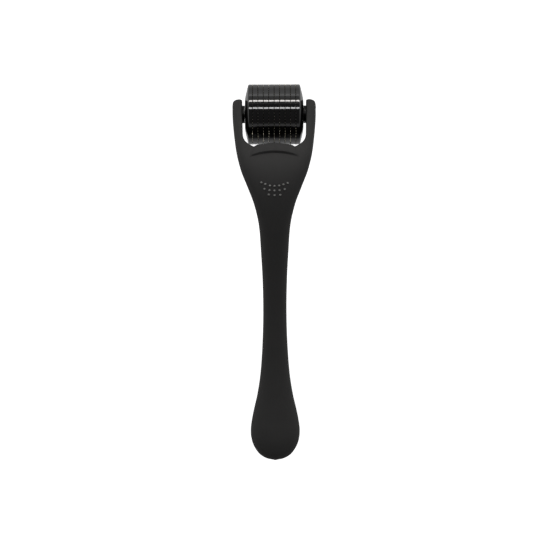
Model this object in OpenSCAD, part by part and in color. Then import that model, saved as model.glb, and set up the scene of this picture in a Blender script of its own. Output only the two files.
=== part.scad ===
/* [Roller drum] */
// Outer radius of the smooth spacer rings
spacer_r = 11.7; // [10.5:0.1:12.4]
// How far the needle tips stand proud of the spacer rings
needle_len = 0.3; // [0.2:0.05:0.6]
// Number of stamped needle discs
disc_count = 9; // [9]
// Distance from one needle disc to the next
disc_pitch = 2.1; // [1.9:0.05:2.15]
// Thickness of one stamped needle disc
disc_t = 0.25; // [0.2:0.05:0.3]
// Needles round one disc
needles = 60; // [24:6:72]
// Radius of the hub that carries the discs
core_r = 7.5; // [6:0.25:8]

/* [Axle and bushes] */
// Radius of the steel axle
axle_r = 1.5; // [1.2:0.1:1.8]
// Radial running clearance of the axle in its bushes
run_gap = 0.05; // [0.02:0.01:0.08]
// Radius of the bush barrel pressed in the arm
bush_r = 2.5; // [2.3:0.1:3]
// Radius of the bush flange between arm and drum
flange_r = 3.3; // [3:0.1:3.6]
// Thickness of the bush flange
flange_t = 0.9; // [0.6:0.1:1]

/* [Handle] */
// Half of the clear width between the arms
fork_half = 12.5; // [12.3:0.1:12.8]
// Radius about the axle that the fork gap is cleared to
fork_clear_r = 20; // [17:0.5:21]
// Wall of the moulded shells
wall = 1.8; // [1.4:0.1:2.2]
// Radius of the locating pegs between the shells
peg_r = 1.3; // [1:0.1:1.6]
// Length of the locating pegs
peg_len = 2; // [1.5:0.25:2.5]

/* [Hidden] */
$fn = 96;

tip_r = spacer_r + needle_len;
root_r = spacer_r - 0.6;
// The stations below are measured along Y from this point, and the axle lies a little beyond it
datum_y = 61.175;
axle_y = datum_y + 0.4;
axle_z = tip_r;
spacer_w = disc_pitch - disc_t;
pack_half = (disc_count - 1) / 2 * disc_pitch + disc_t / 2;
cap_rim = 10.15;
cap_face = 11.4;
arm_out = 16;
key_w = 3;
key_h = 1.4;
bore_r = core_r + 0.02;

// Handle stations from the bulb's end to the tips of the arms, along the middle of its thickness:
// [distance along Y from the datum, height, half width, half thickness, squareness, cavity 0..1]
ST = [
  [-134.75, 5.20, 0.70, 0.50, 2.0, 0],
  [-134.20, 5.20, 3.15, 1.90, 2.0, 0],
  [-132.70, 5.20, 5.75, 3.30, 2.0, 0],
  [-130.30, 5.20, 7.75, 4.35, 2.0, 0],
  [-127.10, 5.20, 9.15, 5.00, 2.1, 0],
  [-123.20, 5.20, 9.62, 5.20, 2.2, 0],
  [-118.90, 5.35, 9.15, 5.05, 2.3, 0],
  [-114.20, 5.80, 8.20, 4.80, 2.3, 0.6],
  [-109.10, 6.40, 7.02, 4.50, 2.4, 1],
  [-101.50, 7.40, 5.83, 4.20, 2.4, 1],
  [-91.00, 9.20, 5.00, 3.95, 2.4, 1],
  [-78.00, 12.20, 4.58, 3.85, 2.4, 1],
  [-65.00, 16.10, 4.74, 3.90, 2.4, 1],
  [-52.50, 20.60, 5.38, 4.05, 2.4, 1],
  [-42.50, 24.40, 6.18, 4.30, 2.4, 1],
  [-34.50, 27.10, 8.05, 4.75, 2.5, 1],
  [-28.00, 28.20, 10.56, 4.90, 2.6, 0.8],
  [-22.50, 27.95, 12.72, 4.90, 2.8, 0],
  [-17.50, 26.30, 14.06, 4.75, 3.2, 0],
  [-13.40, 23.60, 14.83, 4.80, 3.8, 0],
  [-9.30, 20.20, 15.36, 5.10, 4.4, 0],
  [-4.60, 16.10, 15.86, 5.70, 5.0, 0],
  [0.00, 12.20, 16.24, 6.20, 5.0, 0],
  [2.50, 9.90, 16.28, 5.65, 5.0, 0],
  [3.85, 8.65, 16.05, 4.50, 4.6, 0],
  [4.80, 7.78, 15.58, 2.90, 4.0, 0],
  [5.22, 7.38, 14.95, 1.50, 3.0, 0]
];
SUB = 3;
ARC = 14;

// Smooth curve through the stations
function clampi(i) = min(max(i, 0), len(ST) - 1);
function tang(i) =
  let (a = ST[clampi(i - 1)], b = ST[clampi(i + 1)], d = norm([b[0] - a[0], b[1] - a[1]]))
  (b - a) / d;
function hermite(p, q, m, n, t) =
  (2 * t * t * t - 3 * t * t + 1) * p + (t * t * t - 2 * t * t + t) * m
  + (3 * t * t - 2 * t * t * t) * q + (t * t * t - t * t) * n;
function station(u) =
  let (i = min(floor(u), len(ST) - 2), t = u - i,
    h = norm([ST[i + 1][0] - ST[i][0], ST[i + 1][1] - ST[i][1]]))
  hermite(ST[i], ST[i + 1], tang(i) * h, tang(i + 1) * h, t);
function heading(u) =
  let (a = station(max(u - 0.02, 0)), b = station(min(u + 0.02, len(ST) - 1)))
  atan2(b[1] - a[1], b[0] - a[0]);
function spow(v, e) = sign(v) * pow(abs(v), e);
// A point x across and n above the middle line at station u
function place(u, x, n) =
  let (s = station(u), a = heading(u))
  [x, datum_y + s[0] - n * sin(a), s[1] + n * cos(a)];
// One half section: the outer arc, and the inner arc that lies flat where there is no cavity
function half_ring(u, side) =
  let (s = station(u), w = s[2], t = s[3], k = 2 / max(s[4], 2), c = min(max(s[5], 0), 1),
    wi = max(w - wall, w * 0.55), ti = (t - wall) * c)
  concat(
    [for (i = [0:ARC]) let (a = 180 * i / ARC) place(u, w * spow(cos(a), k), side * t * spow(sin(a), k))],
    [for (i = [ARC:-1:0]) let (a = 180 * i / ARC) place(u, wi * spow(cos(a), k), side * ti * spow(sin(a), k))]);

// Closed skin over a run of rings that all have the same number of points
module half_loft(side) {
  last = (len(ST) - 1) * SUB;
  rings = [for (j = [0:last]) half_ring(j / SUB, side)];
  m = 2 * (ARC + 1);
  skin = [for (j = [0:last - 1], i = [0:m - 1])
    let (a = j * m + i, b = j * m + (i + 1) % m, c = a + m, d = b + m) [[a, c, b], [b, c, d]]];
  cap0 = [for (i = [0:ARC - 1]) let (a = i, b = i + 1, c = m - 1 - i, d = m - 2 - i) [[a, b, c], [b, d, c]]];
  cap1 = [for (f = cap0) [for (t = f) [t[0] + last * m, t[2] + last * m, t[1] + last * m]]];
  faces = [for (f = concat(skin, cap0, cap1), t = f) side < 0 ? t : [t[0], t[2], t[1]]];
  polyhedron(points = [for (r = rings, p = r) p], faces = faces);
}

module at_axle() { translate([0, axle_y, axle_z]) rotate([0, 90, 0]) children(); }
// Fork gap, cleared round the axle, and the two bush seats
module fork_cut() {
  at_axle() cylinder(r = fork_clear_r, h = 2 * fork_half, center = true, $fn = 160);
  at_axle() cylinder(r = bush_r, h = 40, center = true, $fn = 64);
}
// Turned into the local frame of station u, with +Z square to the joint between the shells
module at_station(u, x) {
  s = station(u);
  translate([x, datum_y + s[0], s[1]]) rotate([heading(u), 0, 0]) children();
}
PEGS = [[18.15, 8.7], [18.15, -8.7], [5.15, 0.3]];

module front_shell() {
  color([0.16, 0.16, 0.16]) difference() {
    half_loft(1);
    fork_cut();
    for (p = PEGS) at_station(p[0], p[1]) translate([0, 0, -1]) rotate([0, 0, 37]) cylinder(r = peg_r + 0.05, h = peg_len + 1.2, $fn = 32);
  }
}

module back_shell() {
  color([0.15, 0.15, 0.15]) union() {
    difference() {
      half_loft(-1);
      fork_cut();
    }
    for (p = PEGS) at_station(p[0], p[1]) translate([0, 0, -1.5]) rotate([0, 0, 37]) cylinder(r = peg_r, h = peg_len + 1.5, $fn = 32);
  }
}

// Flanged bush, with its flange towards the drum
module bush(side) {
  color([0.08, 0.08, 0.08]) at_axle() mirror([0, 0, side < 0 ? 1 : 0])
    difference() {
      union() {
        translate([0, 0, fork_half - flange_t]) cylinder(r = flange_r, h = flange_t, $fn = 64);
        translate([0, 0, fork_half - 0.01]) cylinder(r = bush_r, h = arm_out - 0.35 - fork_half + 0.01, $fn = 64);
      }
      translate([0, 0, fork_half - 2]) cylinder(r = axle_r + run_gap, h = 8, $fn = 64);
    }
}
module left_bush() { bush(-1); }
module right_bush() { bush(1); }

module axle() {
  color([0.75, 0.75, 0.77]) at_axle() rotate_extrude($fn = 64)
    polygon([[0, -(arm_out - 0.3)], [axle_r - 0.2, -(arm_out - 0.3)], [axle_r, -(arm_out - 0.5)],
      [axle_r, arm_out - 0.5], [axle_r - 0.2, arm_out - 0.3], [0, arm_out - 0.3]]);
}

// Two keys along the hub turn the discs and rings with it
module keys(r, h, grow) {
  for (a = [0, 180]) rotate([0, 0, a])
    translate([-(key_w / 2 + grow), r - 1, -h / 2]) cube([key_w + 2 * grow, key_h + 1 + grow, h]);
}

module core() {
  color([0.1, 0.1, 0.1]) at_axle() difference() {
    union() {
      cylinder(r = core_r, h = 2 * pack_half, center = true);
      keys(core_r, 2 * pack_half, 0);
    }
    cylinder(r = axle_r, h = 40, center = true, $fn = 64);
    for (s = [0, 1]) mirror([0, 0, s]) translate([0, 0, pack_half - 2]) cylinder(r = 5, h = 3, $fn = 64);
  }
}

// Domed end cap with a spigot in the hub
module end_cap(side) {
  color([0.06, 0.06, 0.06]) at_axle() mirror([0, 0, side < 0 ? 1 : 0])
    rotate_extrude($fn = 120) polygon([
      [axle_r, pack_half - 2], [5, pack_half - 2], [5, pack_half], [spacer_r - 0.12, pack_half], [spacer_r, pack_half + 0.12],
      [spacer_r, cap_rim - 0.35], [spacer_r - 0.12, cap_rim - 0.1], [spacer_r - 0.45, cap_rim + 0.03],
      [9.4, cap_rim + 0.5], [7.6, cap_rim + 0.93], [6.3, cap_rim + 1.18], [5.6, cap_face], [axle_r, cap_face]]);
}
module left_end_cap() { end_cap(-1); }
module right_end_cap() { end_cap(1); }

// Stamped star disc: a plain rim with needle points cut round it
module disc(i) {
  step = 360 / needles;
  half = 0.3 / root_r * 180 / PI;
  color([0.72, 0.7, 0.66]) at_axle() translate([0, 0, (i - (disc_count + 1) / 2) * disc_pitch - disc_t / 2])
    difference() {
      linear_extrude(disc_t) polygon([for (k = [0:needles - 1], q = [[root_r, -half], [tip_r, 0], [root_r, half]])
        let (a = k * step + q[1] + 90) [q[0] * cos(a), q[0] * sin(a)]]);
      translate([0, 0, -1]) cylinder(r = bore_r, h = 3);
      translate([0, 0, disc_t / 2]) keys(core_r, 3, 0.02);
    }
}
module disc_1() { disc(1); }
module disc_2() { disc(2); }
module disc_3() { disc(3); }
module disc_4() { disc(4); }
module disc_5() { disc(5); }
module disc_6() { disc(6); }
module disc_7() { disc(7); }
module disc_8() { disc(8); }
module disc_9() { disc(9); }

// Ring that holds two discs apart
module spacer(i) {
  color([0.07, 0.07, 0.07]) at_axle() translate([0, 0, (i - disc_count / 2) * disc_pitch])
    difference() {
      rotate_extrude($fn = 120) polygon([
        [core_r - 0.5, -spacer_w / 2], [spacer_r - 0.12, -spacer_w / 2], [spacer_r, -spacer_w / 2 + 0.12],
        [spacer_r, spacer_w / 2 - 0.12], [spacer_r - 0.12, spacer_w / 2], [core_r - 0.5, spacer_w / 2]]);
      cylinder(r = bore_r, h = 6, center = true);
      keys(core_r, 6, 0.02);
    }
}
module spacer_1() { spacer(1); }
module spacer_2() { spacer(2); }
module spacer_3() { spacer(3); }
module spacer_4() { spacer(4); }
module spacer_5() { spacer(5); }
module spacer_6() { spacer(6); }
module spacer_7() { spacer(7); }
module spacer_8() { spacer(8); }

front_shell();
back_shell();
left_bush();
right_bush();
axle();
core();
left_end_cap();
right_end_cap();
disc_1();
disc_2();
disc_3();
disc_4();
disc_5();
disc_6();
disc_7();
disc_8();
disc_9();
spacer_1();
spacer_2();
spacer_3();
spacer_4();
spacer_5();
spacer_6();
spacer_7();
spacer_8();
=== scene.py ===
import math

import bmesh
import bpy
import numpy as np
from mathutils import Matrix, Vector


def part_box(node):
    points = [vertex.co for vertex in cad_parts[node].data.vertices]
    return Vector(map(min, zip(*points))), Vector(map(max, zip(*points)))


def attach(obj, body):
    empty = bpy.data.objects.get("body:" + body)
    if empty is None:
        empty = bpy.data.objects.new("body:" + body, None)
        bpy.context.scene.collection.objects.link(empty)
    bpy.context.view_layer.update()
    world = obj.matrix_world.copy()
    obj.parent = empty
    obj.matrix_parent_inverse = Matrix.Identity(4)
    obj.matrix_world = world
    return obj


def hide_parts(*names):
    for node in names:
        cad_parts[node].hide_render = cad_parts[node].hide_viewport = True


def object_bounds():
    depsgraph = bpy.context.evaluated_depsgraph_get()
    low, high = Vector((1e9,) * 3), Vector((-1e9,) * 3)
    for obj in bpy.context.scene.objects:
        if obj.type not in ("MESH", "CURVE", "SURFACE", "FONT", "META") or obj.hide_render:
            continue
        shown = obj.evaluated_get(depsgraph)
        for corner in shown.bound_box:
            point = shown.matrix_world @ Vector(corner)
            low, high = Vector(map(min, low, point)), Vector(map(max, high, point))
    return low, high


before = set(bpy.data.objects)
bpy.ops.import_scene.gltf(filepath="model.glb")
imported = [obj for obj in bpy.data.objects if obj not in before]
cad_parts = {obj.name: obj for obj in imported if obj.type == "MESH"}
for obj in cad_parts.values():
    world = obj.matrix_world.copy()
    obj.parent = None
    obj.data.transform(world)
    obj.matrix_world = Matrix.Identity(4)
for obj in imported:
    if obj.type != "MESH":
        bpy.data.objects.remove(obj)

cad_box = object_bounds()
MM = 0.001
AXLE = Vector(((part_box("axle")[0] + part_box("axle")[1]) / 2))
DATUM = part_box("back_shell")[0].y / MM + 134.75  # the handle's stations are measured from here along Y, in mm
AX_Y, AX_Z = AXLE.y / MM - DATUM, AXLE.z / MM    # the drum's axis from there


# ---------------------------------------------------------------------------------------------------------------
# Handle: one smooth field in the bent frame of the handle's middle line, meshed finely and split at the parting line
# ---------------------------------------------------------------------------------------------------------------
# distance along Y from the datum, height, half width, half thickness, squareness
STATIONS = np.array([
    [-134.66, 5.20, 0.70, 0.50, 2.0],
    [-134.14, 5.20, 3.15, 1.90, 2.0],
    [-132.70, 5.20, 5.75, 3.30, 2.0],
    [-130.30, 5.20, 7.75, 4.35, 2.0],
    [-127.10, 5.20, 9.15, 5.00, 2.1],
    [-123.20, 5.20, 9.62, 5.20, 2.2],
    [-118.90, 5.35, 9.15, 5.05, 2.3],
    [-114.20, 5.80, 8.20, 4.80, 2.3],
    [-109.10, 6.40, 7.02, 4.50, 2.4],
    [-101.50, 7.40, 5.83, 4.20, 2.4],
    [-91.00, 9.20, 5.00, 3.95, 2.4],
    [-78.00, 12.20, 4.58, 3.85, 2.4],
    [-65.00, 16.10, 4.74, 3.90, 2.4],
    [-52.50, 20.60, 5.38, 4.05, 2.4],
    [-42.50, 24.40, 6.18, 4.30, 2.4],
    [-34.50, 26.90, 8.05, 4.55, 2.5],
    [-28.00, 28.00, 10.56, 4.70, 2.6],
    [-22.50, 27.80, 12.72, 4.75, 2.8],
    [-17.50, 26.30, 14.06, 4.75, 3.2],
    [-13.40, 23.60, 14.83, 4.80, 3.8],
    [-9.30, 20.20, 15.36, 5.10, 4.4],
    [-4.60, 16.10, 15.86, 5.70, 5.0],
    [0.00, 12.20, 16.24, 6.20, 5.0],
    [2.50, 9.90, 16.28, 5.65, 5.0],
    [3.85, 8.65, 16.05, 4.50, 4.6],
    [4.80, 7.78, 15.58, 2.90, 4.0],
    [5.22, 7.38, 14.95, 1.50, 3.0]])


def dense_line(per=90):
    """The smooth curve through the stations, densely sampled: rows of y, z, half width, half thickness, squareness."""
    st = STATIONS
    m = len(st)
    tang = np.zeros_like(st)
    for i in range(m):
        a, b = st[max(i - 1, 0)], st[min(i + 1, m - 1)]
        tang[i] = (b - a) / math.hypot(b[0] - a[0], b[1] - a[1])
    rows = []
    for i in range(m - 1):
        h = math.hypot(*(st[i + 1] - st[i])[:2])
        steps = max(int(per * h / 7.0), 6)
        for t in np.arange(steps) / steps:
            rows.append((2 * t**3 - 3 * t**2 + 1) * st[i] + (t**3 - 2 * t**2 + t) * tang[i] * h
                        + (3 * t**2 - 2 * t**3) * st[i + 1] + (t**3 - t**2) * tang[i + 1] * h)
    rows.append(st[-1])
    return np.array(rows)


LINE = dense_line()
LP = LINE[:, :2]
_d = np.gradient(LP, axis=0)
LT = _d / np.linalg.norm(_d, axis=1)[:, None]
LN = np.stack([-LT[:, 1], LT[:, 0]], 1)        # points out of the thumb side


def gap_table():
    """Signed distance, in (|x|, radius about the axle), to the edge of the fork gap; negative inside the gap."""
    pts = np.array([[-2.0, 20.0], [0.0, 19.85], [2.0, 20.0], [4.0, 20.35], [5.6, 20.6], [7.2, 20.85], [7.8, 20.85], [8.4, 20.5], [9.0, 20.05],
                    [9.9, 19.35], [10.8, 18.4], [11.4, 17.5], [11.85, 16.4], [12.1, 15.2], [12.2, 13.8], [12.28, 10.0], [12.5, 4.5], [12.5, -4.0]])
    line = []
    for i in range(len(pts) - 1):
        p0, p1, p2, p3 = pts[max(i - 1, 0)], pts[i], pts[i + 1], pts[min(i + 2, len(pts) - 1)]
        for t in np.arange(12) / 12:
            line.append(0.5 * (2 * p1 + (p2 - p0) * t + (2 * p0 - 5 * p1 + 4 * p2 - p3) * t * t + (3 * p1 - p0 - 3 * p2 + p3) * t**3))
    line = np.array(line + [pts[-1]])
    step = 0.1
    gx, gr = np.arange(0, 18, step), np.arange(0, 60, step)
    q = np.stack(np.meshgrid(gx, gr, indexing="ij"), -1).reshape(-1, 2)
    a, b = line[:-1], line[1:]
    ab = b - a
    best = np.full(len(q), 1e9)
    for i in range(len(a)):
        t = np.clip(((q - a[i]) @ ab[i]) / (ab[i] @ ab[i]), 0, 1)
        dv = q - (a[i] + t[:, None] * ab[i])
        best = np.minimum(best, np.hypot(dv[:, 0], dv[:, 1]))
    grow = line[:np.argmax(line[:, 0] >= 12.4999) + 1]
    edge = np.where(q[:, 0] < 12.5, np.interp(q[:, 0], grow[:, 0], grow[:, 1]), -1.0)
    side = np.where(q[:, 1] < edge, -1.0, 1.0)
    sd = best * side
    return sd.reshape(len(gx), len(gr)), step


GAP, GAP_STEP = gap_table()


def gap_distance(x, r):
    i = np.clip(np.abs(x) / GAP_STEP, 0, GAP.shape[0] - 1.001)
    j = np.clip(r / GAP_STEP, 0, GAP.shape[1] - 1.001)
    i0, j0 = i.astype(int), j.astype(int)
    fi, fj = i - i0, j - j0
    return ((1 - fi) * (1 - fj) * GAP[i0, j0] + fi * (1 - fj) * GAP[i0 + 1, j0]
            + (1 - fi) * fj * GAP[i0, j0 + 1] + fi * fj * GAP[i0 + 1, j0 + 1])


def smax(a, b, k):
    h = np.maximum(k - np.abs(a - b), 0) / k
    return np.maximum(a, b) + h * h * k * 0.25


def sstep(t):
    t = np.clip(t, 0, 1)
    return t * t * (3 - 2 * t)


DOTS = [(-5.05, -26.75), (-3.55, -27.35), (-1.75, -27.9), (0.0, -28.1), (1.75, -27.95), (3.4, -27.5), (5.05, -26.95),
        (-3.9, -29.2), (-1.95, -29.7), (0.0, -29.85), (1.95, -29.75), (3.9, -29.35),
        (-2.2, -31.4), (0.0, -31.65), (2.2, -31.5)]


def relief(x, yb):
    """Height above the plain thumb side, from plan coordinates: the crescent with its lip, and the raised dots."""
    # distance up the band from the lip, towards the drum
    lip = -14.57 - 1.45 * (x / 9.0) ** 2
    d = yb - lip
    tau = np.clip(d / 3.3, 0, 1.4)
    crest = 0.85
    band = crest - 1.5 * tau * (1 - tau)
    fall = crest * sstep(1 + d / 0.68)
    h = np.where(d >= 0, band, fall)
    edge = 9.1 - 1.65 * np.clip(tau, 0, 1)
    h = h * sstep((edge - np.abs(x)) / 1.7 + 0.5) * (1 - 0.7 * np.clip(np.abs(x) / 9.6, 0, 1) ** 5)
    for cx, cy in DOTS:
        q = ((x - cx) ** 2 + (yb - cy) ** 2) / 0.52 ** 2
        h = h + 0.4 * np.clip(1 - q, 0, 1) ** 0.65
    return h


class Field:
    def __init__(self, y0, z0, ny, nz, step):
        self.y0, self.z0, self.step, self.ny, self.nz = y0, z0, step, ny, nz
        yy, zz = np.meshgrid(y0 + np.arange(ny) * step, z0 + np.arange(nz) * step, indexing="ij")
        q = np.stack([yy.ravel(), zz.ravel()], 1).astype(np.float32)
        lp = LP.astype(np.float32)
        near = np.zeros(len(q), np.int32)
        n2 = (lp ** 2).sum(1)
        for i in range(0, len(q), 4096):
            c = q[i:i + 4096]
            near[i:i + 4096] = np.argmin(n2[None] - 2 * c @ lp.T, axis=1)
        self.near = near.reshape(ny, nz)

    def locate(self, y, z, near=None):
        """The place along the line and the height above it of points in the handle's side plane."""
        if near is None:
            i = np.clip(np.rint((y - self.y0) / self.step).astype(int), 0, self.ny - 1)
            j = np.clip(np.rint((z - self.z0) / self.step).astype(int), 0, self.nz - 1)
            base = self.near[i, j]
            best, near = np.full(y.shape, 1e9), base
            for o in range(-12, 13):
                k = np.clip(base + o, 0, len(LP) - 1)
                dd = (LP[k, 0] - y) ** 2 + (LP[k, 1] - z) ** 2
                take = dd < best
                near = np.where(take, k, near)
                best = np.where(take, dd, best)
        k = np.clip(near, 0, len(LP) - 1)
        dy, dz = y - LP[k, 0], z - LP[k, 1]
        along = dy * LT[k, 0] + dz * LT[k, 1]
        # blend the parameters linearly to the neighbour that the point leans to
        o = np.where(along > 0, 1, -1)
        k2 = np.clip(k + o, 0, len(LP) - 1)
        gap = np.hypot(LP[k2, 0] - LP[k, 0], LP[k2, 1] - LP[k, 1])
        f = np.where(gap > 1e-9, np.clip(np.abs(along) / np.maximum(gap, 1e-9), 0, 1), 0)
        par = LINE[k] * (1 - f)[..., None] + LINE[k2] * f[..., None]
        nv = LN[k] * (1 - f)[..., None] + LN[k2] * f[..., None]
        nv = nv / np.linalg.norm(nv, axis=-1)[..., None]
        n = (y - par[..., 0]) * nv[..., 0] + (z - par[..., 1]) * nv[..., 1]
        out = np.abs((y - par[..., 0]) * nv[..., 1] - (z - par[..., 1]) * nv[..., 0])
        return par, nv, n, np.where((k == 0) | (k == len(LP) - 1), out, 0)

    def value(self, x, par, nv, n, out, r_axle, side):
        w, t, e = par[..., 2], par[..., 3], np.maximum(par[..., 4], 2.0)
        ax = np.abs(x)
        core = np.clip(1 - (ax / w) ** e, 0, 1) ** (1 / e)
        if side > 0:
            yb = par[..., 0] + nv[..., 0] * t * core
            t = np.where(n > 0, t + relief(x, yb), t)
        r = np.hypot(x, n) + 1e-6
        rho = ((ax / w) ** e + (np.abs(n) / t) ** e) ** (1 / e) + 1e-9
        f = r * (1 - 1 / rho)
        f = np.where(out > 0, np.hypot(np.maximum(f, 0), out) + np.minimum(f, 0), f)
        # softer where the arms end
        f = smax(f, -gap_distance(x, r_axle), 1.05 + 1.9 * sstep((par[..., 0] - 0.8) / 3.2))
        f = smax(f, -(r_axle - 2.52), 0.2)
        # the parting line, with softly broken edges on both shells
        f = smax(f, 0.03 - n if side > 0 else n + 0.03, 0.22)
        return f

    def at(self, v, side):
        par, nv, n, out = self.locate(v[:, 1], v[:, 2])
        return self.value(v[:, 0], par, nv, n, out, np.hypot(v[:, 1] - AX_Y, v[:, 2] - AX_Z), side)


def surface_nets(f, origin, step):
    s = f < 0
    nx, ny, nz = f.shape
    total = np.zeros((nx - 1, ny - 1, nz - 1), np.uint8)
    corners = [(a, b, c) for a in (0, 1) for b in (0, 1) for c in (0, 1)]
    for a, b, c in corners:
        total += s[a:nx - 1 + a, b:ny - 1 + b, c:nz - 1 + c]
    active = (total > 0) & (total < 8)
    idx = np.argwhere(active)
    vid = np.full(active.shape, -1, np.int64)
    vid[active] = np.arange(len(idx))
    acc, cnt = np.zeros((len(idx), 3)), np.zeros(len(idx))
    for a in corners:
        for axis in range(3):
            if a[axis]:
                continue
            b = list(a)
            b[axis] = 1
            fa = f[idx[:, 0] + a[0], idx[:, 1] + a[1], idx[:, 2] + a[2]]
            fb = f[idx[:, 0] + b[0], idx[:, 1] + b[1], idx[:, 2] + b[2]]
            hit = (fa < 0) != (fb < 0)
            t = np.where(hit, fa / np.where(hit, fa - fb, 1), 0)
            p = np.tile(np.array(a, float), (len(idx), 1))
            p[:, axis] = t
            acc[hit] += p[hit]
            cnt[hit] += 1
    verts = origin + (idx + acc / cnt[:, None]) * step
    quads = []
    for axis in range(3):
        lo = [slice(None)] * 3
        hi = [slice(None)] * 3
        lo[axis], hi[axis] = slice(0, -1), slice(1, None)
        sa, sb = s[tuple(lo)], s[tuple(hi)]
        e = np.argwhere(sa != sb)
        o1, o2 = [(1, 2), (2, 0), (0, 1)][axis]
        dims = np.array(f.shape)
        ok = (e[:, o1] > 0) & (e[:, o2] > 0) & (e[:, o1] < dims[o1] - 1) & (e[:, o2] < dims[o2] - 1)
        e = e[ok]
        out = sa[e[:, 0], e[:, 1], e[:, 2]]
        cell = []
        for da, db in ((1, 1), (0, 1), (0, 0), (1, 0)):
            c = e.copy()
            c[:, o1] -= da
            c[:, o2] -= db
            cell.append(vid[c[:, 0], c[:, 1], c[:, 2]])
        q = np.stack(cell, 1)
        q[~out] = q[~out][:, ::-1]
        quads.append(q)
    return verts, np.concatenate(quads)


def relax(field, v, faces, side, rounds, amount):
    """Evens the mesh along the surface, then returns it to the field's zero."""
    f4 = faces
    pairs = np.concatenate([f4[:, [0, 1]], f4[:, [1, 2]], f4[:, [2, 3]], f4[:, [3, 0]]])
    deg = np.bincount(pairs.ravel(), minlength=len(v)).astype(float)
    for _ in range(rounds):
        mean = np.zeros_like(v)
        for c in range(3):
            mean[:, c] = (np.bincount(pairs[:, 0], v[pairs[:, 1], c], len(v)) + np.bincount(pairs[:, 1], v[pairs[:, 0], c], len(v)))
        mean /= deg[:, None]
        step = (mean - v) * amount
        g = gradient(field, v, side)[0]
        step -= g * (step * g).sum(1)[:, None]
        v = project(field, v + step, side, 2)
    return v


def gradient(field, v, side, h=0.02):
    g = np.zeros_like(v)
    for c in range(3):
        o = np.zeros(3)
        o[c] = h
        g[:, c] = (field.at(v + o, side) - field.at(v - o, side)) / (2 * h)
    size = np.linalg.norm(g, axis=1)[:, None] + 1e-9
    return g / size, size[:, 0]


def project(field, v, side, rounds=3):
    for _ in range(rounds):
        g, size = gradient(field, v, side)
        move = np.clip(field.at(v, side) / np.maximum(size, 0.5), -0.15, 0.15)
        v = v - g * move[:, None]
    return v


def build_handle(step):
    x0, y0, z0 = -17.1, -135.9, -0.8
    nx, ny, nz = int(34.2 / step) + 2, int(144.6 / step) + 2, int(35.4 / step) + 2
    x0 = -(nx - 1) / 2 * step
    field = Field(y0, z0, ny, nz, step)
    yy, zz = np.meshgrid(y0 + np.arange(ny) * step, z0 + np.arange(nz) * step, indexing="ij")
    par, nv, n, out = field.locate(yy, zz, field.near)
    r_axle = np.hypot(yy - AX_Y, zz - AX_Z)
    made = {}
    for side, name in ((1, "front_shell"), (-1, "back_shell")):
        vol = np.empty((nx, ny, nz), np.float32)
        for i in range(nx):
            vol[i] = field.value(np.full(yy.shape, x0 + i * step), par, nv, n, out, r_axle, side)
        v, q = surface_nets(vol, np.array([x0, y0, z0]), step)
        v = project(field, v, side, 3)
        v = relax(field, v, q, side, 3, 0.5)
        made[name] = (v, q, side)
    return field, made


def shell_object(name, field, v, q, side, finer):
    bm = bmesh.new()
    verts = [bm.verts.new(p) for p in v]
    for f in q:
        try:
            bm.faces.new([verts[i] for i in f])
        except ValueError:
            pass
    bm.normal_update()
    for lo, hi, cuts in finer:
        faces = [f for f in bm.faces if f.normal.z > 0.2 and all(lo[c] <= f.calc_center_median()[c] <= hi[c] for c in range(2))]
        edges = list({e for f in faces for e in f.edges})
        bmesh.ops.subdivide_edges(bm, edges=edges, cuts=cuts, use_grid_fill=True)
    bm.verts.ensure_lookup_table()
    co = np.array([p.co[:] for p in bm.verts])
    if finer:
        co = project(field, co, side, 3)
    nrm = gradient(field, co, side, 0.015)[0]
    for p, c in zip(bm.verts, co):
        p.co = [min(max(u, lo), hi) for u, lo, hi in zip((c[0] * MM, (c[1] + DATUM) * MM, c[2] * MM), *cad_box)]
    bmesh.ops.triangulate(bm, faces=[f for f in bm.faces if len(f.verts) > 4])
    for f in bm.faces:
        f.smooth = True
    me = bpy.data.meshes.new(name + "_skin")
    bm.to_mesh(me)
    bm.free()
    # mask on the raised dots: painted highlight (paler colour) and thumb polish (lower roughness)
    dot_polish_and_painted_highlight = me.attributes.new("dot_polish_and_painted_highlight", "FLOAT", "POINT")
    if side > 0:
        # painted highlight: the upper side of each dot, towards the lights, gets a paler colour; the same mask makes
        # it less rough, polished by the thumb
        near = np.min([np.hypot((co[:, 0] - cx) * 0.85, co[:, 1] - cy - 0.16) for cx, cy in DOTS], axis=0)
        dot_polish_and_painted_highlight.data.foreach_set("value", np.where(co[:, 2] > 25, np.clip((0.42 - near) / 0.12, 0, 1), 0).astype(np.float32))
    # every vertex takes the field's normal, so that the sheen is smooth
    me.normals_split_custom_set_from_vertices([tuple(x) for x in nrm])
    ob = bpy.data.objects.new(name + "_skin", me)
    bpy.context.scene.collection.objects.link(ob)
    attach(ob, "handle")
    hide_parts(name)
    return ob


STEP = 0.3
field, made = build_handle(STEP)
finer = [((-10.5, -33.0), (10.5, -8.5), 1), ((-6.2, -32.4), (6.2, -25.4), 1), ((-10.2, -17.4), (10.2, -13.2), 1)]
shells = {}
for name, (v, q, side) in made.items():
    shells[name] = shell_object(name, field, v, q, side, finer if side > 0 else [])


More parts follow.
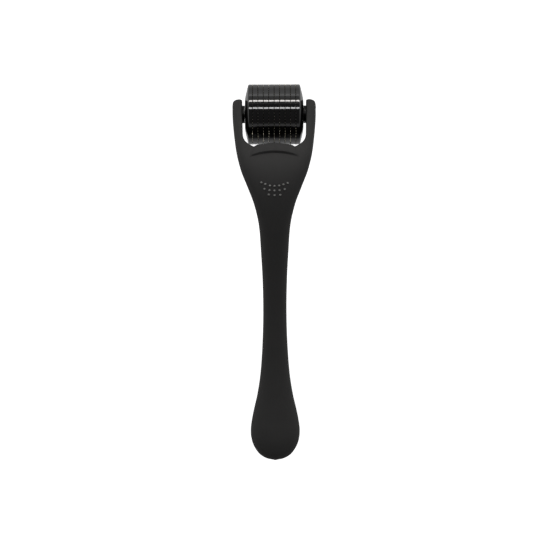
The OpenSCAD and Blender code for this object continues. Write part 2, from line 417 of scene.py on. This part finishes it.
# ---------------------------------------------------------------------------------------------------------------
# Drum, axle and bushes: turned and stamped pieces
# ---------------------------------------------------------------------------------------------------------------
def lathe(name, profile, body, node, seg=256, round_mm=0.0, steps=4):
    """A closed profile of (x along the axle, radius) in mm, turned about the axle; corners are rounded by round_mm."""
    pts = []
    m = len(profile)
    for i, p in enumerate(profile):
        p = np.array(p, float)
        a, b = np.array(profile[i - 1], float), np.array(profile[(i + 1) % m], float)
        r = round_mm if p[1] > 0 else 0
        la, lb = np.linalg.norm(a - p), np.linalg.norm(b - p)
        r = min(r, la * 0.45, lb * 0.45)
        da, db = (a - p) / max(la, 1e-9), (b - p) / max(lb, 1e-9)
        if r < 1e-4 or abs(da @ db) > 0.999:
            pts.append(p)
            continue
        for t in np.linspace(0, 1, steps + 1):
            pts.append((1 - t) ** 2 * (p + da * r) + 2 * t * (1 - t) * p + t * t * (p + db * r))
    verts, faces = [], []
    rings = []
    for p in pts:
        if p[1] < 1e-6:
            rings.append([len(verts)])
            verts.append((p[0] * MM, AXLE.y, AXLE.z))
        else:
            rings.append(list(range(len(verts), len(verts) + seg)))
            for k in range(seg):
                a = 2 * math.pi * k / seg
                verts.append((p[0] * MM, AXLE.y + p[1] * MM * math.cos(a), AXLE.z + p[1] * MM * math.sin(a)))
    n = len(rings)
    for i in range(n):
        a, b = rings[i], rings[(i + 1) % n]
        for k in range(seg):
            k2 = (k + 1) % seg
            if len(a) > 1 and len(b) > 1:
                faces.append((a[k], a[k2], b[k2], b[k]))
            elif len(a) == 1 and len(b) > 1:
                faces.append((a[0], b[k2], b[k]))
            elif len(b) == 1 and len(a) > 1:
                faces.append((a[k], a[k2], b[0]))
    me = bpy.data.meshes.new(name)
    me.from_pydata(verts, [], faces)
    bm = bmesh.new()
    bm.from_mesh(me)
    bmesh.ops.recalc_face_normals(bm, faces=bm.faces)
    bm.to_mesh(me)
    bm.free()
    me.polygons.foreach_set("use_smooth", [True] * len(me.polygons))
    me.set_sharp_from_angle(angle=math.radians(38))
    ob = bpy.data.objects.new(name, me)
    bpy.context.scene.collection.objects.link(ob)
    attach(ob, body)
    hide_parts(node)
    return ob


R_SP, R_TIP, R_ROOT, R_BORE = 11.7, 12.0, 11.1, 7.52
PITCH, DISC_T = 2.1, 0.25
SP_W = PITCH - DISC_T
drum_parts, needle_parts = [], []
for i in range(1, 9):
    c = (i - 4.5) * PITCH
    h = SP_W / 2 - 0.005
    drum_parts.append(lathe(f"spacer_{i}_ring", [(c - h, R_BORE), (c - h, R_SP - 0.02), (c - h + 0.02, R_SP), (c + h - 0.02, R_SP), (c + h, R_SP - 0.02), (c + h, R_BORE)],
                            "drum", f"spacer_{i}", round_mm=0.06))
PACK = 4 * PITCH + DISC_T / 2
for side, name in ((-1, "left_end_cap"), (1, "right_end_cap")):
    prof = [(PACK, 5.0), (PACK, R_SP - 0.02), (PACK + 0.02, R_SP), (9.9, R_SP), (10.18, R_SP - 0.45), (10.64, 9.4), (11.07, 7.6),
            (11.31, 6.3), (11.39, 5.6), (11.39, 1.5), (PACK - 2, 1.5), (PACK - 2, 5.0)]
    drum_parts.append(lathe(name + "_dome", [(side * a, b) for a, b in prof], "drum", name, round_mm=0.22, steps=5))


def needle_disc(i):
    """A stamped and etched star: a flat rim with fine tapered points, ground to a tip from both faces."""
    c = (i - 5) * PITCH
    n = 60
    bm = bmesh.new()
    half = DISC_T / 2 - 0.005
    rows = []
    for s in (-1, 1):
        ring_in, ring_out = [], []
        for k in range(n):
            a = 2 * math.pi * (k + 0.5 * 0) / n + math.pi / 2
            for off, r in ((-0.3, R_ROOT), (-0.105, R_SP + 0.01), (0, R_TIP), (0.105, R_SP + 0.01), (0.3, R_ROOT), (0.5, R_ROOT - 0.02)):
                ang = a + (off / R_ROOT if off != 0.5 else math.pi / n)
                taper = 1.0 if r < R_SP else (0.75 if r < R_TIP else 0.0)
                x = c + s * half * taper
                if r >= R_TIP and s == 1:
                    ring_out.append(rows[0][1][len(ring_out)])
                else:
                    ring_out.append(bm.verts.new((x * MM, AXLE.y + r * MM * math.cos(ang), AXLE.z + r * MM * math.sin(ang))))
                ring_in.append((ang, x))
        inner = [bm.verts.new(((c + s * half) * MM, AXLE.y + R_BORE * MM * math.cos(a_), AXLE.z + R_BORE * MM * math.sin(a_))) for a_, _ in ring_in]
        rows.append((inner, ring_out))
    m = len(rows[0][0])
    for s, (inner, outer) in zip((-1, 1), rows):
        for k in range(m):
            k2 = (k + 1) % m
            f = (inner[k], inner[k2], outer[k2], outer[k])
            bm.faces.new(f if s > 0 else f[::-1])
    for k in range(m):
        k2 = (k + 1) % m
        a, b, c2, d = rows[0][1][k], rows[0][1][k2], rows[1][1][k2], rows[1][1][k]
        f = [a, b] + ([c2] if c2 is not b else []) + ([d] if d is not a else [])
        if len(f) > 2:
            bm.faces.new(f)
        bm.faces.new((rows[0][0][k], rows[1][0][k], rows[1][0][k2], rows[0][0][k2]))
    bmesh.ops.recalc_face_normals(bm, faces=bm.faces)
    me = bpy.data.meshes.new(f"disc_{i}_star")
    bm.to_mesh(me)
    bm.free()
    ob = bpy.data.objects.new(f"disc_{i}_star", me)
    bpy.context.scene.collection.objects.link(ob)
    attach(ob, "drum")
    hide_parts(f"disc_{i}")
    return ob


for i in range(1, 10):
    needle_parts.append(needle_disc(i))

core = lathe("core_hub", [(-PACK + 0.01, 1.5), (-PACK + 0.01, 7.48), (PACK - 0.01, 7.48), (PACK - 0.01, 1.5)], "drum", "core", round_mm=0.15)
axle = lathe("axle_pin", [(-15.7, 0.0), (-15.7, 1.3), (-15.5, 1.5), (15.5, 1.5), (15.7, 1.3), (15.7, 0.0)], "drum", "axle", seg=96, round_mm=0.08)
bushes = []
for side, name in ((-1, "left_bush"), (1, "right_bush")):
    prof = [(11.46, 1.55), (11.46, 3.45), (12.5, 3.45), (12.5, 2.5), (15.65, 2.5), (15.65, 1.55)]
    bushes.append(lathe(name + "_sleeve", [(side * a, b) for a, b in prof], "handle", name, seg=128, round_mm=0.12))


# ---------------------------------------------------------------------------------------------------------------
# Materials
# ---------------------------------------------------------------------------------------------------------------
def material(name):
    m = bpy.data.materials.new(name)
    m.use_nodes = True
    nt = m.node_tree
    return m, nt, nt.nodes["Principled BSDF"]


def noise(nt, scale, detail=2.0, rough=0.5, coords=None):
    n = nt.nodes.new("ShaderNodeTexNoise")
    n.inputs["Scale"].default_value = scale
    n.inputs["Detail"].default_value = detail
    n.inputs["Roughness"].default_value = rough
    nt.links.new(coords, n.inputs["Vector"])
    return n


def ramp(nt, src, stops):
    r = nt.nodes.new("ShaderNodeValToRGB")
    els = r.color_ramp.elements
    while len(els) < len(stops):
        els.new(0.5)
    for e, (p, c) in zip(els, stops):
        e.position = p
        e.color = c if len(c) == 4 else (*c, 1)
    nt.links.new(src, r.inputs["Fac"])
    return r


def grey(v):
    return (v, v, v, 1)


def handle_material():
    m, nt, b = material("soft_touch_black")
    tc = nt.nodes.new("ShaderNodeTexCoord")
    fine = noise(nt, 5200, 3, 0.6, tc.outputs["Object"])
    broad = noise(nt, 90, 4, 0.55, tc.outputs["Object"])
    col = ramp(nt, broad.outputs["Fac"], [(0.3, (0.0150, 0.0146, 0.0143)), (0.7, (0.0178, 0.0172, 0.0168))])
    rgh = ramp(nt, fine.outputs["Fac"], [(0.3, grey(0.66)), (0.7, grey(0.76))])
    # the thumb polishes the raised dots (lower roughness); their upper side is also painted paler, a painted highlight
    att = nt.nodes.new("ShaderNodeAttribute")
    att.attribute_name = "dot_polish_and_painted_highlight"
    # the paler colour is a painted highlight on the dots
    pale = nt.nodes.new("ShaderNodeMixRGB")
    pale.inputs["Color2"].default_value = (0.19, 0.187, 0.182, 1)
    nt.links.new(att.outputs["Fac"], pale.inputs["Fac"])
    nt.links.new(col.outputs["Color"], pale.inputs["Color1"])
    nt.links.new(pale.outputs["Color"], b.inputs["Base Color"])
    wear = nt.nodes.new("ShaderNodeMath")
    wear.operation = "MULTIPLY_ADD"
    wear.inputs[1].default_value = -0.42
    nt.links.new(att.outputs["Fac"], wear.inputs[0])
    nt.links.new(rgh.outputs["Color"], wear.inputs[2])
    nt.links.new(wear.outputs["Value"], b.inputs["Roughness"])
    bump = nt.nodes.new("ShaderNodeBump")
    bump.inputs["Strength"].default_value = 0.12
    bump.inputs["Distance"].default_value = 0.00006
    nt.links.new(fine.outputs["Fac"], bump.inputs["Height"])
    nt.links.new(bump.outputs["Normal"], b.inputs["Normal"])
    b.inputs["Specular IOR Level"].default_value = 0.26
    return m


def drum_material():
    m, nt, b = material("polished_black")
    tc = nt.nodes.new("ShaderNodeTexCoord")
    fine = noise(nt, 1400, 3, 0.6, tc.outputs["Object"])
    broad = noise(nt, 260, 3, 0.5, tc.outputs["Object"])
    col = ramp(nt, broad.outputs["Fac"], [(0.3, (0.0024, 0.0024, 0.0026)), (0.7, (0.0036, 0.0035, 0.0034))])
    nt.links.new(col.outputs["Color"], b.inputs["Base Color"])
    rgh = ramp(nt, fine.outputs["Fac"], [(0.3, grey(0.05)), (0.72, grey(0.10))])
    nt.links.new(rgh.outputs["Color"], b.inputs["Roughness"])
    bump = nt.nodes.new("ShaderNodeBump")
    bump.inputs["Strength"].default_value = 0.06
    bump.inputs["Distance"].default_value = 0.00005
    nt.links.new(fine.outputs["Fac"], bump.inputs["Height"])
    nt.links.new(bump.outputs["Normal"], b.inputs["Normal"])
    b.inputs["Specular IOR Level"].default_value = 0.5
    return m


def bush_material():
    m, nt, b = material("bush_black")
    tc = nt.nodes.new("ShaderNodeTexCoord")
    fine = noise(nt, 2400, 3, 0.6, tc.outputs["Object"])
    col = ramp(nt, fine.outputs["Fac"], [(0.3, (0.0035, 0.0035, 0.0035)), (0.7, (0.005, 0.0048, 0.0047))])
    nt.links.new(col.outputs["Color"], b.inputs["Base Color"])
    rgh = ramp(nt, fine.outputs["Fac"], [(0.3, grey(0.26)), (0.7, grey(0.36))])
    nt.links.new(rgh.outputs["Color"], b.inputs["Roughness"])
    bump = nt.nodes.new("ShaderNodeBump")
    bump.inputs["Strength"].default_value = 0.08
    bump.inputs["Distance"].default_value = 0.00005
    nt.links.new(fine.outputs["Fac"], bump.inputs["Height"])
    nt.links.new(bump.outputs["Normal"], b.inputs["Normal"])
    b.inputs["Specular IOR Level"].default_value = 0.14
    return m


def metal_material(name, base, lo, hi, scale, stretch):
    m, nt, b = material(name)
    tc = nt.nodes.new("ShaderNodeTexCoord")
    mp = nt.nodes.new("ShaderNodeMapping")
    mp.inputs["Scale"].default_value = stretch
    nt.links.new(tc.outputs["Object"], mp.inputs["Vector"])
    fine = noise(nt, scale, 4, 0.6, mp.outputs["Vector"])
    d = [c * 0.86 for c in base]
    col = ramp(nt, fine.outputs["Fac"], [(0.3, d), (0.7, base)])
    nt.links.new(col.outputs["Color"], b.inputs["Base Color"])
    rgh = ramp(nt, fine.outputs["Fac"], [(0.3, grey(lo)), (0.7, grey(hi))])
    nt.links.new(rgh.outputs["Color"], b.inputs["Roughness"])
    bump = nt.nodes.new("ShaderNodeBump")
    bump.inputs["Strength"].default_value = 0.1
    bump.inputs["Distance"].default_value = 0.00003
    nt.links.new(fine.outputs["Fac"], bump.inputs["Height"])
    nt.links.new(bump.outputs["Normal"], b.inputs["Normal"])
    b.inputs["Metallic"].default_value = 1.0
    return m


def needle_material():
    """Steel with painted shade: dark down in the grooves between the spacers, in the steel's own bright colour only at
    the ground tips.
    """
    m, nt, b = material("needle_steel_painted_groove_shade")
    tc = nt.nodes.new("ShaderNodeTexCoord")
    off = nt.nodes.new("ShaderNodeVectorMath")
    off.operation = "SUBTRACT"
    off.inputs[1].default_value = (0, AXLE.y, AXLE.z)
    nt.links.new(tc.outputs["Object"], off.inputs[0])
    flat = nt.nodes.new("ShaderNodeVectorMath")
    flat.operation = "MULTIPLY"
    flat.inputs[1].default_value = (0, 1, 1)
    nt.links.new(off.outputs["Vector"], flat.inputs[0])
    size = nt.nodes.new("ShaderNodeVectorMath")
    size.operation = "LENGTH"
    nt.links.new(flat.outputs["Vector"], size.inputs[0])
    fine = noise(nt, 2600, 4, 0.6, tc.outputs["Object"])
    # distance from the axle: below the spacers' surface the disc is painted dark as shade in the groove
    groove_shade_mask = nt.nodes.new("ShaderNodeMapRange")
    groove_shade_mask.inputs["From Min"].default_value = 0.01160
    groove_shade_mask.inputs["From Max"].default_value = 0.01186
    nt.links.new(size.outputs["Value"], groove_shade_mask.inputs["Value"])
    blot = nt.nodes.new("ShaderNodeMath")
    blot.operation = "MULTIPLY_ADD"
    blot.inputs[1].default_value = 0.16
    nt.links.new(fine.outputs["Fac"], blot.inputs[0])
    nt.links.new(groove_shade_mask.outputs["Result"], blot.inputs[2])
    # the dark stops are painted shade in the grooves; the bright stops are the steel's own colour
    col = ramp(nt, blot.outputs["Value"], [(0.0, (0.012, 0.011, 0.010)), (0.16, (0.020, 0.019, 0.017)), (0.6, (0.16, 0.15, 0.12)), (1.0, (0.42, 0.39, 0.32))])
    nt.links.new(col.outputs["Color"], b.inputs["Base Color"])
    rgh = ramp(nt, fine.outputs["Fac"], [(0.3, grey(0.34)), (0.7, grey(0.5))])
    nt.links.new(rgh.outputs["Color"], b.inputs["Roughness"])
    bump = nt.nodes.new("ShaderNodeBump")
    bump.inputs["Strength"].default_value = 0.1
    bump.inputs["Distance"].default_value = 0.00003
    nt.links.new(fine.outputs["Fac"], bump.inputs["Height"])
    nt.links.new(bump.outputs["Normal"], b.inputs["Normal"])
    b.inputs["Metallic"].default_value = 1.0
    return m


m_handle, m_drum, m_bush = handle_material(), drum_material(), bush_material()
m_axle = metal_material("ground_steel", (0.60, 0.60, 0.61), 0.22, 0.36, 900, (6, 1, 1))
m_needle = needle_material()
for o in shells.values():
    o.data.materials.append(m_handle)
for o in drum_parts:
    o.data.materials.append(m_drum)
for o in needle_parts:
    o.data.materials.append(m_needle)
for o in bushes:
    o.data.materials.append(m_bush)
core.data.materials.append(m_bush)
axle.data.materials.append(m_axle)


# ---------------------------------------------------------------------------------------------------------------
# Floor, light and camera
# ---------------------------------------------------------------------------------------------------------------
me = bpy.data.meshes.new("floor")
s = 3.0
me.from_pydata([(-s, -s, 0), (s, -s, 0), (s, s, 0), (-s, s, 0)], [], [(0, 1, 2, 3)])
floor = bpy.data.objects.new("floor", me)
bpy.context.scene.collection.objects.link(floor)
fm, fnt, fb = material("pale_floor")
fb.inputs["Base Color"].default_value = (0.92, 0.92, 0.92, 1)
fb.inputs["Roughness"].default_value = 0.9
fb.inputs["Specular IOR Level"].default_value = 0.1
fb.inputs["Emission Color"].default_value = (1, 1, 1, 1)
fb.inputs["Emission Strength"].default_value = 0.9
floor.data.materials.append(fm)
floor.visible_glossy = False
floor.visible_diffuse = False

world = bpy.data.worlds.new("studio")
bpy.context.scene.world = world
world.use_nodes = True
wnt = world.node_tree
bg = wnt.nodes["Background"]
wtc = wnt.nodes.new("ShaderNodeTexCoord")
sep = wnt.nodes.new("ShaderNodeSeparateXYZ")
wnt.links.new(wtc.outputs["Generated"], sep.inputs["Vector"])
half = wnt.nodes.new("ShaderNodeMapRange")
for key, val in (("From Min", -1.0), ("From Max", 1.0), ("To Min", 0.0), ("To Max", 1.0)):
    half.inputs[key].default_value = val
wnt.links.new(sep.outputs["Z"], half.inputs["Value"])


def sky(z, v):
    return ((z + 1) / 2, (v / 2, v / 2, v / 2, 1))


front = ramp(wnt, half.outputs["Result"], [sky(-1, 0.45), sky(-0.67, 0.55), sky(-0.3, 0.66), sky(-0.1, 0.95), sky(0.0, 1.05), sky(0.09, 1.2), sky(0.15, 1.5),
                                           sky(0.20, 2.5), sky(0.245, 2.1), sky(0.31, 0.75), sky(0.42, 0.7), sky(0.6, 0.5), sky(0.76, 0.5), sky(0.80, 0.12),
                                           sky(1, 0.14)])
back = ramp(wnt, half.outputs["Result"], [sky(-1, 0.5), sky(-0.5, 0.6), sky(-0.35, 0.55), sky(-0.27, 0.12), sky(0.1, 0.12), sky(0.35, 0.3), sky(0.5, 0.6),
                                          sky(0.765, 0.7), sky(0.80, 0.12), sky(1, 0.14)])
turn = wnt.nodes.new("ShaderNodeMapRange")
for key, val in (("From Min", -0.15), ("From Max", -0.55), ("To Min", 0.0), ("To Max", 1.0)):
    turn.inputs[key].default_value = val
wnt.links.new(sep.outputs["Y"], turn.inputs["Value"])
glow = wnt.nodes.new("ShaderNodeMixRGB")
wnt.links.new(turn.outputs["Result"], glow.inputs["Fac"])
wnt.links.new(front.outputs["Color"], glow.inputs["Color1"])
wnt.links.new(back.outputs["Color"], glow.inputs["Color2"])
wnt.links.new(glow.outputs["Color"], bg.inputs["Color"])
bg.inputs["Strength"].default_value = 2.0


def area(name, power, size_x, size_y, distance, angle, target=(0, 0.03, 0.012), across=0.0):
    """A strip light long in X, at an angle from straight up towards +Y."""
    a = math.radians(angle)
    l = bpy.data.lights.new(name, "AREA")
    l.shape = "RECTANGLE"
    l.size, l.size_y = size_x, size_y
    l.energy = power
    o = bpy.data.objects.new(name, l)
    t = Vector(target)
    o.location = t + Vector((across, math.sin(a), math.cos(a))) * distance
    o.rotation_euler = (t - o.location).to_track_quat("-Z", "Y").to_euler()
    bpy.context.scene.collection.objects.link(o)
    return o


DRUM_AT = (0, AXLE.y, AXLE.z)
low = area("strip_low", 6.8, 1.2, 0.090, 0.9, 51.0, DRUM_AT)
high = area("strip_high", 4.3, 1.2, 0.080, 0.9, 22.2, DRUM_AT)
low.data.color = (1.0, 0.965, 0.93)
low.visible_diffuse = high.visible_diffuse = False

cam = bpy.data.cameras.new("camera")
camera = bpy.data.objects.new("camera", cam)
bpy.context.scene.collection.objects.link(camera)
DIST = 1.5
SPAN = 0.2079
mid = (Vector(cad_box[0]) + Vector(cad_box[1])) / 2
centre = Vector((-0.0032, mid.y + 0.00225, 0.0))
camera.location = (centre.x, centre.y, DIST + 0.012)
camera.rotation_euler = (0, 0, math.radians(-0.21))
cam.sensor_width = 36
cam.sensor_fit = "HORIZONTAL"
cam.lens = 36 * DIST / SPAN
cam.clip_start, cam.clip_end = 0.01, 20
bpy.context.scene.camera = camera
bpy.context.scene.view_settings.view_transform = "Standard"

bpy.context.view_layer.update()
